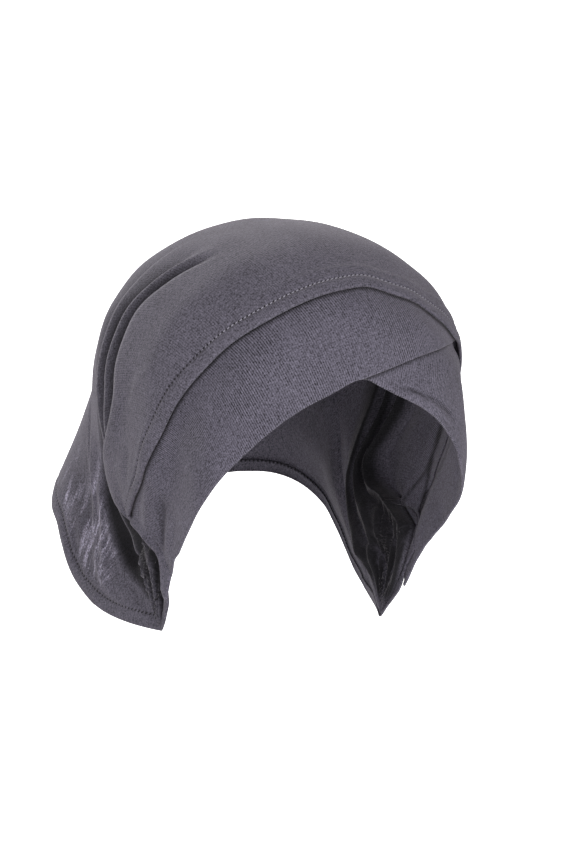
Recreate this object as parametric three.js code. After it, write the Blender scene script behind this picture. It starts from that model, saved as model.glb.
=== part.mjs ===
// A pre-tied head wrap in heather grey jersey: a hooded crown with a loose tail behind,
// and two doubled bands that cross over the brow beneath the crown's stitched front edge.
//
// Millimetres, +Z up. The wearer faces -Y and the wearer's right side is -X.
// The origin is where the top of the head touches the inside of the crown.
//
// All cloth lies in layers on one form. The form is a fan of arches: each arch stands in a
// half plane that hinges on a line through both neck points, and springs from those points.
// An angle of 0 degrees points forward, 90 up and 180 back. The share of the way along an
// arch runs from 0 at the right neck point to 1 at the left one.
import * as THREE from 'three';

const CLOTH = 1.2;            // wall of the single jersey, and of a doubled band
const HEM_CLOTH = 1.0;        // turned-under layer of a hem
const GAP = 0.4;              // clearance between two layers
const HEM_WIDTH = 6;          // edge to stitch line
const BAND_TUCK = 8;          // how far a band runs on beneath the crown's edge
const CROWN_TUCK = 6;         // how far the crown runs on beneath a band near the neck point
const EDGE_CLEARANCE = 0.35;  // where the crown and a band meet edge to edge
const CROWN_EDGE_RISE = 0.8;  // the crown's front edge stands proud of the form
const RISE_WIDTH = 18;        // and comes down to the form over this width
const BAND_EDGE_RISE = 1.0;   // a band's back edge near the neck point stands proud too
const BAND_DIP_WIDTH = 22;    // a band dips beneath the crown's edge over this width
const COVER_START = 4;        // the under band starts to come up this far from the crossing
const COVER_BLEND = 12;       // and is level with the form this much further on
const BAND_GAP = 0.8;         // clearance between the two bands
const LEAST_PANEL = 2;        // width of the side panel's first strip where it runs out
const LEAST_BAND = 3;         // width of a band where it runs out
const NECK_HALF_WIDTH = 58.5; // middle of the head to each neck point
const HINGE_Y = 2;
const HINGE_Z = -189.5;

const CROWN_COLOUR = 0x615e69;
const BAND_COLOUR = 0x5c5a66;
const HEM_COLOUR = 0x5a555e;

// Shares of the way along an arch between which each piece runs.
const FRONT_HEM_REACH = { from: 0.15, to: 0.85 };
const BACK_HEM_REACH = { from: 0.02, to: 0.98 };
const BAND_START = 0.052;      // clear of the neck point
const CROSSING_START = 0.49;   // where a band leaves the face edge and crosses the other one
const BAND_END = 0.73;         // its hidden end
const COVER_FADE = 0.05;       // the under band comes up past the other's end over this share
const POLE_SHARE = 0.02;       // nearer to a neck point than this an arch is taken as upright
const STATION_SPACE = 0.004;   // least share from a piece's end to its next row

// The layers near the crown's front edge, as offsets of their outer faces from the form.
const FRONT_HEM_LEVEL = CROWN_EDGE_RISE - CLOTH - GAP;
const BAND_DIP = FRONT_HEM_LEVEL - HEM_CLOTH - 1.5 * GAP;
const TUCKED_CROWN_LEVEL = BAND_EDGE_RISE - CLOTH - 2 * GAP;

const table = (names, rows) => rows.map((row) =>
  Object.fromEntries(names.map((name, k) => [name, row[k]])));

// One row for each arch. Its apex and its widest point are heights above the hinge line.
const ARCHES = table(['angle', 'apex', 'halfWidth', 'widest', 'squareness'], [
  [36, 120.0, 62.5, 59.0, 2.30],
  [50, 152.0, 68.0, 89.0, 1.98],
  [62, 178.5, 70.5, 104.5, 2.00],
  [75, 189.0, 80.0, 121.5, 1.97],
  [90, 190.7, 79.6, 117.7, 2.03],
  [102, 188.6, 77.6, 117.0, 2.10],
  [113, 184.0, 71.4, 108.5, 2.09],
  [124, 173.5, 66.7, 98.5, 2.05],
  [136, 162.5, 67.7, 93.0, 2.07],
  [148, 154.0, 73.0, 92.0, 2.16],
  [160, 147.0, 77.0, 89.0, 2.25],
  [172, 141.0, 78.8, 84.5, 2.30],
  [184, 136.8, 79.7, 79.3, 2.33],
]);

// Edges that run over the head, as an angle at a share of the way along the arches.
const FACE_EDGE = table(['share', 'angle'], [
  [0.000, 42.0], [0.056, 44.5], [0.093, 48.0], [0.143, 47.0], [0.264, 46.5], [0.316, 47.0],
  [0.406, 49.0], [0.445, 49.8], [0.490, 51.1], [0.515, 49.7], [0.587, 48.0], [0.656, 45.8],
  [0.684, 44.4], [0.740, 44.4], [0.857, 46.5], [0.907, 48.0], [0.944, 44.5], [1.000, 42.0],
]);
const SEAM = table(['share', 'angle'], [
  [0.000, 50.0], [0.056, 56.0], [0.093, 67.5], [0.107, 75.0], [0.1275, 88.0], [0.160, 75.5],
  [0.207, 69.5], [0.264, 66.0], [0.316, 64.0], [0.366, 62.9], [0.413, 62.0], [0.485, 62.4],
  [0.517, 63.0], [0.550, 62.8], [0.589, 63.2], [0.634, 64.5], [0.684, 66.0], [0.736, 67.5],
  [0.793, 69.8], [0.840, 75.5], [0.8725, 88.0], [0.893, 75.0], [0.907, 67.5], [0.944, 56.0],
  [1.000, 50.0],
]);
// The lower edge of a band past the middle of the brow, where it lies across the other band.
const CROSSING = table(['share', 'angle'], [
  [0.490, 51.1], [0.525, 52.5], [0.569, 55.0], [0.624, 59.5], [0.679, 66.0], [0.730, 71.0],
]);

// Lines of the crown's folds on one half of the head: angle, and depth below the form.
// The first is the back edge of the smooth side panel, the last the tail's hem.
const FOLDS = {
  panelEdge: table(['share', 'angle', 'level'], [
    [0.000, 54.0, -1.0], [0.056, 60.0, -1.1], [0.093, 70.5, -1.2], [0.107, 78.0, -1.3],
    [0.119, 86.0, -1.2], [0.1275, 90.5, -0.2], [0.136, 93.5, 1.4], [0.163, 97.5, 2.4],
    [0.192, 98.5, 2.6], [0.215, 95.0, 2.2], [0.235, 90.0, 1.2], [0.260, 88.8, 0.8],
    [0.310, 86.5, 0.5], [0.350, 81.5, 0.3], [0.386, 78.5, 0.1], [0.420, 77.0, 0.0],
    [0.500, 76.0, 0.0],
  ]),
  firstValley: table(['share', 'angle', 'level'], [
    [0.000, 61.0, -1.6], [0.056, 67.0, -3.2], [0.093, 75.0, -4.0], [0.107, 81.5, -4.2],
    [0.1275, 94.0, -4.2], [0.163, 100.5, -4.2], [0.192, 101.5, -4.2], [0.215, 98.3, -4.2],
    [0.235, 93.2, -4.1], [0.260, 91.5, -4.0], [0.310, 89.0, -3.4], [0.350, 84.0, -2.2],
    [0.386, 81.0, -0.9], [0.420, 79.5, 0.0], [0.500, 78.5, 0.0],
  ]),
  firstRidge: table(['share', 'angle', 'level'], [
    [0.000, 69.0, -1.0], [0.056, 74.0, -1.4], [0.093, 81.0, -1.6], [0.107, 87.0, -1.6],
    [0.1275, 98.5, -1.6], [0.163, 104.5, -1.6], [0.192, 105.5, -1.5], [0.215, 102.5, -1.2],
    [0.235, 97.8, -0.6], [0.260, 95.5, -0.2], [0.285, 93.3, 0.0], [0.310, 91.4, 0.0],
    [0.350, 86.3, 0.0], [0.386, 83.0, 0.0], [0.500, 81.0, 0.0],
  ]),
  secondValley: table(['share', 'angle', 'level'], [
    [0.000, 78.0, -1.6], [0.056, 82.0, -3.2], [0.093, 88.5, -3.8], [0.107, 93.5, -4.0],
    [0.1275, 103.5, -4.0], [0.163, 109.0, -4.0], [0.192, 109.5, -4.0], [0.215, 106.5, -3.9],
    [0.235, 102.3, -3.8], [0.260, 99.3, -3.6], [0.285, 96.4, -3.2], [0.310, 94.2, -2.6],
    [0.350, 89.6, -1.7], [0.386, 86.8, -0.6], [0.420, 85.0, 0.0], [0.500, 84.0, 0.0],
  ]),
  secondRidge: table(['share', 'angle', 'level'], [
    [0.000, 88.0, -0.8], [0.056, 91.0, -1.2], [0.093, 96.5, -1.4], [0.107, 100.5, -1.4],
    [0.1275, 109.0, -1.2], [0.163, 113.0, -1.0], [0.192, 112.8, -0.8], [0.235, 105.5, -0.2],
    [0.260, 102.3, 0.0], [0.310, 97.8, 0.0], [0.350, 95.3, 0.0], [0.386, 92.0, 0.0],
    [0.420, 89.0, 0.0], [0.500, 88.0, 0.0],
  ]),
  thirdValley: table(['share', 'angle', 'level'], [
    [0.000, 98.0, -1.2], [0.056, 101.0, -2.6], [0.093, 105.5, -3.2], [0.1275, 115.0, -3.0],
    [0.163, 117.5, -2.8], [0.192, 116.3, -2.4], [0.235, 108.3, -1.8], [0.260, 104.8, -1.4],
    [0.310, 100.3, -1.1], [0.350, 97.8, -0.8], [0.386, 94.5, -0.4], [0.420, 92.0, 0.0],
    [0.500, 91.0, 0.0],
  ]),
  thirdRidge: table(['share', 'angle', 'level'], [
    [0.000, 109.0, -0.6], [0.056, 112.0, -0.6], [0.093, 115.5, -0.5], [0.1275, 122.5, -0.3],
    [0.163, 124.0, -0.2], [0.192, 121.8, 0.0], [0.235, 113.0, 0.0], [0.285, 107.0, 0.0],
    [0.350, 101.5, 0.0], [0.420, 96.0, 0.0], [0.500, 95.0, 0.0],
  ]),
  backFold: table(['share', 'angle', 'level'], [
    [0.000, 156.0, 0.0], [0.080, 157.0, 0.3], [0.123, 151.5, 0.8], [0.165, 140.5, 1.0],
    [0.215, 131.0, 1.0], [0.257, 123.5, 0.8], [0.300, 119.0, 0.4], [0.380, 114.0, 0.0],
    [0.500, 112.0, 0.0],
  ]),
  backHollow: table(['share', 'angle', 'level'], [
    [0.000, 161.0, 0.0], [0.080, 161.5, -0.3], [0.123, 156.5, -0.8], [0.165, 146.0, -1.2],
    [0.215, 136.5, -1.4], [0.257, 129.5, -1.2], [0.300, 125.5, -0.8], [0.380, 121.0, 0.0],
    [0.500, 119.0, 0.0],
  ]),
  tailEdge: table(['share', 'angle', 'level'], [
    [0.000, 176.0, 0.0], [0.061, 173.0, 0.0], [0.093, 171.0, 0.0], [0.133, 166.8, 0.0],
    [0.160, 163.5, 0.0], [0.185, 159.8, 0.0], [0.212, 155.5, 0.0], [0.250, 152.3, 0.0],
    [0.304, 151.5, 0.0], [0.380, 154.0, 0.0], [0.440, 157.0, 0.0], [0.500, 158.5, 0.0],
  ]),
};
// Strips of cloth between one line and the next, from the front edge to the tail's edge.
const STRIPS = [2, 4, 2, 2, 2, 2, 2, 2, 4, 2, 3, 2];
const BAND_STRIPS = 8;
const ARCH_STEPS = 60;         // steps from an arch's foot to its widest place
const PANEL_LIFT_START = 0.6;  // the side panel's cloth rises to its back edge from here on

// Shares at which the cloth is drawn on one half, closest where the layers change places.
const HALF_STATIONS = [0, 0.02, 0.04, 0.056, 0.075, 0.093, 0.104, 0.112, 0.118, 0.1235, 0.1275,
  0.1315, 0.136, 0.143, 0.15, 0.17, 0.192, 0.215, 0.235, 0.26, 0.285, 0.31, 0.335, 0.36, 0.39,
  0.425, 0.46];
const STATIONS = [...HALF_STATIONS, 0.5, ...HALF_STATIONS.map((s) => 1 - s).reverse()];

// Below this share the band lies over the crown, above it the crown lies over the band.
const CHANGE = { start: 0.1245, end: 0.1305, tuck: 0.008 };

const radians = Math.PI / 180;
const mix = (a, b, t) => a + (b - a) * t;
const ease = (t) => {
  const c = Math.min(Math.max(t, 0), 1);
  return c * c * (3 - 2 * c);
};
const half = (share) => Math.min(share, 1 - share);

// A smooth curve through a table's rows that never overshoots them.
function read(rows, key, column, at) {
  let k = 0;
  while (k < rows.length - 2 && rows[k + 1][key] <= at) k += 1;
  const slope = (i) => (rows[i + 1][column] - rows[i][column]) / (rows[i + 1][key] - rows[i][key]);
  const tangent = (i) => {
    if (i === 0) return slope(0);
    if (i === rows.length - 1) return slope(i - 1);
    const [before, after] = [slope(i - 1), slope(i)];
    return before * after <= 0 ? 0 : (2 * before * after) / (before + after);
  };
  const width = rows[k + 1][key] - rows[k][key];
  const t = (at - rows[k][key]) / width;
  return rows[k][column] * (1 + 2 * t) * (1 - t) ** 2
    + tangent(k) * width * t * (1 - t) ** 2
    + rows[k + 1][column] * t * t * (3 - 2 * t)
    + tangent(k + 1) * width * t * t * (t - 1);
}
const edge = (rows, share) => read(rows, 'share', 'angle', share);

// An arch from its foot to its apex as points (sideways, height), with their lengths.
const archCache = new Map();
function arch(angle) {
  const key = angle.toFixed(4);
  if (archCache.has(key)) return archCache.get(key);
  const [apex, halfWidth, widest, squareness] = ['apex', 'halfWidth', 'widest', 'squareness']
    .map((column) => read(ARCHES, 'angle', column, angle));
  const points = [];
  for (let k = 0; k <= ARCH_STEPS; k += 1) {
    const s = k / ARCH_STEPS;
    points.push([mix(NECK_HALF_WIDTH, halfWidth, 1 - (1 - s) ** 2), widest * s]);
  }
  for (let k = 1; k <= 2 * ARCH_STEPS; k += 1) {
    const turn = (k / (2 * ARCH_STEPS)) * 90 * radians;
    points.push([
      halfWidth * Math.max(Math.cos(turn), 0) ** (2 / squareness),
      widest + (apex - widest) * Math.sin(turn) ** (2 / squareness),
    ]);
  }
  const lengths = [0];
  for (let k = 1; k < points.length; k += 1) {
    const [a, b] = [points[k - 1], points[k]];
    lengths.push(lengths[k - 1] + Math.hypot(b[0] - a[0], b[1] - a[1]));
  }
  archCache.set(key, { points, lengths });
  return { points, lengths };
}

// The place on an arch at a share of its length: sideways, and height above the hinge line.
function onArch(angle, share) {
  const { points, lengths } = arch(angle);
  const wanted = half(share) * 2 * lengths[lengths.length - 1];
  let k = 1;
  while (k < lengths.length - 1 && lengths[k] < wanted) k += 1;
  const t = (wanted - lengths[k - 1]) / (lengths[k] - lengths[k - 1]);
  const side = share < 0.5 ? -1 : 1;
  return [side * mix(points[k - 1][0], points[k][0], t), mix(points[k - 1][1], points[k][1], t)];
}

function onForm(angle, share) {
  const [sideways, height] = onArch(angle, share);
  return new THREE.Vector3(
    sideways,
    HINGE_Y - height * Math.cos(angle * radians),
    HINGE_Z + height * Math.sin(angle * radians),
  );
}

// A point at an offset out from the form.
function lifted(angle, share, offset) {
  const angleStep = 0.4;
  const shareStep = 0.004;
  const near = Math.min(Math.max(share, 2 * shareStep), 1 - 2 * shareStep);
  const forward = onForm(angle + angleStep, near).sub(onForm(angle - angleStep, near));
  const across = onForm(angle, near + shareStep).sub(onForm(angle, near - shareStep));
  const out = across.cross(forward).normalize();
  return onForm(angle, share).addScaledVector(out, offset);
}

// The distance from the hinge line, by which degrees and widths of cloth go into each other.
const reach = (angle, share) => onArch(angle, Math.max(half(share), POLE_SHARE))[1];
const degrees = (width, angle, share) => width / reach(angle, share) / radians;
const width = (from, to, share) => (to - from) * reach(to, share) * radians;

// 0 where the band lies over the crown, 1 where the crown lies over the band.
const crownOver = (share) => ease((half(share) - CHANGE.start) / (CHANGE.end - CHANGE.start));
const bandTuck = (share) => BAND_TUCK * ease((half(share) - CHANGE.end) / CHANGE.tuck);
const crownTuck = (share) => CROWN_TUCK * ease((CHANGE.start - half(share)) / CHANGE.tuck);

// The crown's front edge: on the seam line, or beneath the band near a neck point.
function crownFront(share) {
  const seam = edge(SEAM, share);
  const clear = Math.min(bandTuck(share), 1) === 1 ? 0 : EDGE_CLEARANCE;
  return Math.max(seam + degrees(clear - crownTuck(share), seam, share), edge(FACE_EDGE, share));
}
function crownEdgeLevel(share) {
  return mix(TUCKED_CROWN_LEVEL, CROWN_EDGE_RISE, crownOver(share));
}

// A closed wall from a grid of places. A place is an angle, a share and an outer offset;
// the inner face lies a thickness further in. Rows that start or end at a neck point
// close to one point there.
function wall(grid, thickness) {
  const positions = [];
  const index = [];
  const rows = grid.length;
  const columns = grid[0].length;
  const isPoint = (i) => grid[i][0].share <= 0 || grid[i][0].share >= 1;
  const faces = [0, 1].map((side) => grid.map((row, i) => {
    const used = isPoint(i) ? [row[0]] : row;
    const numbers = used.map(({ angle, share, offset }) => {
      positions.push(...lifted(angle, share, offset - side * thickness));
      return positions.length / 3 - 1;
    });
    return row.map((_, j) => numbers[isPoint(i) ? 0 : j]);
  }));
  const triangle = (a, b, c) => {
    if (a !== b && b !== c && c !== a) index.push(a, b, c);
  };
  const quad = (a, b, c, d) => {
    triangle(a, b, c);
    triangle(a, c, d);
  };
  const [outer, inner] = faces;
  for (let i = 0; i < rows - 1; i += 1) {
    for (let j = 0; j < columns - 1; j += 1) {
      quad(outer[i][j], outer[i + 1][j], outer[i + 1][j + 1], outer[i][j + 1]);
      quad(inner[i][j], inner[i][j + 1], inner[i + 1][j + 1], inner[i + 1][j]);
    }
    const last = columns - 1;
    quad(outer[i][0], inner[i][0], inner[i + 1][0], outer[i + 1][0]);
    quad(outer[i][last], outer[i + 1][last], inner[i + 1][last], inner[i][last]);
  }
  for (let j = 0; j < columns - 1; j += 1) {
    const last = rows - 1;
    if (!isPoint(0)) quad(outer[0][j], outer[0][j + 1], inner[0][j + 1], inner[0][j]);
    if (!isPoint(last)) quad(outer[last][j], inner[last][j], inner[last][j + 1], outer[last][j + 1]);
  }
  const geometry = new THREE.BufferGeometry();
  geometry.setAttribute('position', new THREE.Float32BufferAttribute(positions, 3));
  geometry.setIndex(index);
  geometry.computeVertexNormals();
  return geometry;
}

// The crown's profile at one share: the lines of its folds, each an angle and a level.
function crownLines(share) {
  const h = half(share);
  const lines = [{ angle: crownFront(share), level: crownEdgeLevel(share) }];
  for (const rows of Object.values(FOLDS)) {
    lines.push({ angle: edge(rows, h), level: read(rows, 'share', 'level', h) });
  }
  const [front, panel] = lines;
  panel.angle = Math.max(panel.angle, front.angle + degrees(LEAST_PANEL, front.angle, share));
  return lines;
}

// How far the crown's outer face lies out from the form: eased from fold line to fold line,
// and on the side panel down from the raised front edge and up again at its back edge.
function crownOffset(lines, share, angle) {
  let k = 0;
  while (k < lines.length - 2 && lines[k + 1].angle <= angle) k += 1;
  const [from, to] = [lines[k], lines[k + 1]];
  const t = (angle - from.angle) / (to.angle - from.angle);
  if (k > 0) return mix(from.level, to.level, ease(t));
  const down = ease(width(from.angle, angle, share) / RISE_WIDTH);
  const settled = mix(from.level, Math.min(from.level, 0), down);
  return mix(settled, to.level, ease((t - PANEL_LIFT_START) / (1 - PANEL_LIFT_START)));
}

// The hems' inner edges, kept inside the side panel and the last strip of the tail.
function hemLines(lines, share) {
  const [front, panel] = lines;
  const [hollow, tail] = lines.slice(-2);
  return {
    front: Math.min(front.angle + degrees(HEM_WIDTH, front.angle, share),
      mix(front.angle, panel.angle, 0.5)),
    back: Math.max(tail.angle - degrees(HEM_WIDTH, tail.angle, share),
      mix(tail.angle, hollow.angle, 0.5)),
  };
}

function crownRow(share) {
  const lines = crownLines(share);
  const hem = hemLines(lines, share);
  const stops = lines.map((line) => line.angle);
  stops.splice(1, 0, hem.front);
  stops.splice(-1, 0, hem.back);
  const row = [];
  STRIPS.forEach((count, k) => {
    for (let j = k ? 1 : 0; j <= count; j += 1) {
      const angle = mix(stops[k], stops[k + 1], j / count);
      row.push({ angle, share, offset: crownOffset(lines, share, angle) });
    }
  });
  return row;
}

// A strip of turned-under cloth that follows the inside of the crown along an edge.
function hemRow(share, from, to, lines) {
  return [0, 0.5, 1].map((t) => {
    const angle = mix(from, to, t);
    return { angle, share, offset: crownOffset(lines, share, angle) - CLOTH - GAP };
  });
}
function frontHemRow(share) {
  const lines = crownLines(share);
  return hemRow(share, lines[0].angle, hemLines(lines, share).front, lines);
}
function backHemRow(share) {
  const lines = crownLines(share);
  return hemRow(share, hemLines(lines, share).back, lines.at(-1).angle, lines);
}

// A band at one share of its own length, from its visible lower edge to its hidden upper
// edge. The right band is worked out as it lies, the left one as its mirror image.
function bandRow(share, lower, cover) {
  const seam = edge(SEAM, share);
  const tuck = bandTuck(share);
  const clear = tuck > 0 || half(share) < CHANGE.start ? 0 : EDGE_CLEARANCE;
  const upper = seam + degrees(tuck - clear, seam, share);
  const top = Math.max(upper, lower + degrees(LEAST_BAND, lower, share));
  const level = mix(BAND_EDGE_RISE, BAND_DIP, crownOver(share));
  const row = [];
  for (let j = 0; j <= BAND_STRIPS; j += 1) {
    const angle = mix(lower, top, j / BAND_STRIPS);
    const lift = 1 - ease(width(angle, seam, share) / BAND_DIP_WIDTH);
    const offset = level * lift - (CLOTH + BAND_GAP) * cover(angle);
    row.push({ angle, share, offset });
  }
  return row;
}

const within = ({ from, to }) => [
  from,
  ...STATIONS.filter((s) => s > from + STATION_SPACE && s < to - STATION_SPACE),
  to,
];

const crown = wall(STATIONS.map(crownRow), CLOTH);

const frontHem = wall(within(FRONT_HEM_REACH).map(frontHemRow), HEM_CLOTH);
const backHem = wall(within(BACK_HEM_REACH).map(backHemRow), HEM_CLOTH);

const rightLower = (share) => (share < CROSSING_START ? edge(FACE_EDGE, share) : edge(CROSSING, share));
const rightBand = wall(within({ from: BAND_START, to: BAND_END }).map((share) =>
  bandRow(share, rightLower(share), () => 0)), CLOTH);

// The left band lies beneath the right one as far as the crossing edge, and comes up to the
// form beside it.
const leftBand = wall(within({ from: 1 - BAND_END, to: 1 - BAND_START }).map((share) => {
  const lower = share > 1 - CROSSING_START ? edge(FACE_EDGE, share) : edge(CROSSING, 1 - share);
  const crossing = share < CROSSING_START ? 0 : edge(CROSSING, Math.min(share, BAND_END));
  const cover = (angle) => {
    const beside = (width(angle, crossing, share) - COVER_START) / COVER_BLEND;
    const past = (share - BAND_END) / COVER_FADE;
    return Math.min(1 - ease(beside), 1 - ease(past));
  };
  return bandRow(share, lower, cover);
}), CLOTH);

function piece(name, geometry, colour, roughness) {
  const material = new THREE.MeshStandardMaterial({ color: colour, roughness, metalness: 0 });
  const mesh = new THREE.Mesh(geometry, material);
  mesh.name = name;
  return mesh;
}

const wrap = new THREE.Group();
wrap.add(
  piece('crown', crown, CROWN_COLOUR, 0.85),
  piece('front_hem', frontHem, HEM_COLOUR, 0.9),
  piece('back_hem', backHem, HEM_COLOUR, 0.9),
  piece('right_band', rightBand, BAND_COLOUR, 0.85),
  piece('left_band', leftBand, BAND_COLOUR, 0.85),
);

export default wrap;
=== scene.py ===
import math

import bpy
import numpy as np
from mathutils import Matrix, Vector


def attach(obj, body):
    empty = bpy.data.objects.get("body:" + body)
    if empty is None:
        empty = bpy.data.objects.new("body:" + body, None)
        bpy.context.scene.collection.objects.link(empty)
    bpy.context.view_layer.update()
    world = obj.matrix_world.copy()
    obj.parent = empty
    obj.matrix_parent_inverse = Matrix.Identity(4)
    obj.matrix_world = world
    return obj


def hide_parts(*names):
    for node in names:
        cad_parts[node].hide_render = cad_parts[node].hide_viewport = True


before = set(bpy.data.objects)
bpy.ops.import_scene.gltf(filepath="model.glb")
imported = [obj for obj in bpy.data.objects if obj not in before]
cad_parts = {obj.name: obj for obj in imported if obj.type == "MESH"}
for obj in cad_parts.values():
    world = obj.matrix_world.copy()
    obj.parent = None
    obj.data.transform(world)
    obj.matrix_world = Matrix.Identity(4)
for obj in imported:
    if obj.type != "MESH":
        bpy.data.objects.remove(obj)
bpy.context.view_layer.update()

# A pre-tied head wrap in heather grey jersey, in metres, +Z up, in its worn form. The wearer
# faces -Y and the wearer's right side is -X. The top of the head is at the origin.
bpy.ops.object.select_all(action="DESELECT")


# Crown. One length of single jersey over the head, from the brow to the loose tail. Its
# front and tail edges are turned under and stitched down. Its sides are gathered into the
# neck points, and the gathers run up over the head as hoop folds.
JERSEY = 0.0006              # thickness of one layer
LAYER_GAP = 0.0003           # from one layer to the next
NECK_HALF_WIDTH = 0.0585     # middle of the head to each neck point
HINGE_Y = 0.002
HINGE_Z = -0.1895
HEM_WIDTH = 0.006            # edge to stitch row
HEM_ZONE = 0.0095            # from an edge to where its hem no longer shows
ARCH_STEPS = 40
EDGE_RISE = 0.0008           # the front edge stands proud of the form
RISE_WIDTH = 0.018
TUCK_LEVEL = -0.0005         # beneath a band, near the neck points
CROWN_TUCK = 0.009
BEHIND_BAND = 0.004          # the crown's front edge near the neck, behind the face edge
BEHIND_BAND_FADE = (0.050, 0.02)     # the share where it begins, and the span it takes
LEAST_PANEL = 0.002          # width of the side panel where it runs out
LEAST_HEM = 0.0004           # width of the hems where they run out
HEM_DRAWN_IN = (0.012, 0.03)
TIP = 0.02                   # share from a neck point up to where widths can be measured


def table(names, rows):
    """Columns of numbers by their names. The first column is what the others follow."""
    return dict(zip(names.split(), np.array(rows, float).T))


# The form that the cloth lies on is a fan of arches, hinged on the line through both neck
# points: 0 degrees points forward, 90 up and 180 back. One row for each arch, with heights
# above the hinge line.
ARCHES = table("angle apex half_width widest squareness", [
    [36, 0.1200, 0.0625, 0.0590, 2.30],
    [50, 0.1520, 0.0680, 0.0890, 1.98],
    [62, 0.1785, 0.0705, 0.1045, 2.00],
    [75, 0.1890, 0.0800, 0.1215, 1.97],
    [90, 0.1907, 0.0796, 0.1177, 2.03],
    [102, 0.1886, 0.0776, 0.1170, 2.10],
    [113, 0.1840, 0.0714, 0.1085, 2.09],
    [124, 0.1735, 0.0667, 0.0985, 2.05],
    [136, 0.1625, 0.0677, 0.0930, 2.07],
    [148, 0.1540, 0.0730, 0.0920, 2.16],
    [160, 0.1470, 0.0770, 0.0890, 2.25],
    [172, 0.1410, 0.0788, 0.0845, 2.30],
    [184, 0.1368, 0.0797, 0.0793, 2.33],
])

# Edges over the head, as an angle at a share of the way along the arches. The share is 0 at
# the right neck point and 1 at the left one.
FACE_EDGE = table("share angle", [
    [0.000, 43.0], [0.050, 45.5], [0.070, 48.0], [0.093, 50.8], [0.115, 51.0], [0.143, 48.5],
    [0.264, 46.5], [0.316, 47.0], [0.406, 49.0], [0.445, 49.8], [0.490, 51.1], [0.515, 50.0],
    [0.535, 49.1], [0.587, 47.9], [0.628, 46.8], [0.656, 45.8], [0.684, 44.4], [0.740, 44.4],
    [0.857, 48.5], [0.885, 51.0], [0.907, 50.8], [0.930, 48.0], [0.950, 45.5], [1.000, 43.0],
])
SEAM = table("share angle", [
    [0.000, 50.0], [0.056, 57.5], [0.080, 62.0], [0.094, 66.5], [0.101, 77.0], [0.109, 88.0],
    [0.115, 91.5], [0.125, 87.8], [0.160, 75.5], [0.207, 69.5], [0.264, 66.0], [0.316, 64.0],
    [0.366, 62.9], [0.413, 62.2], [0.485, 62.8], [0.517, 63.2], [0.551, 62.7], [0.578, 63.0],
    [0.611, 63.6], [0.641, 65.0], [0.668, 66.7], [0.700, 70.4], [0.736, 72.5], [0.793, 74.0],
    [0.840, 76.5], [0.875, 87.8], [0.885, 91.5], [0.891, 88.0], [0.899, 77.0], [0.906, 66.5],
    [0.920, 62.0], [0.944, 57.5], [1.000, 50.0],
])

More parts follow.
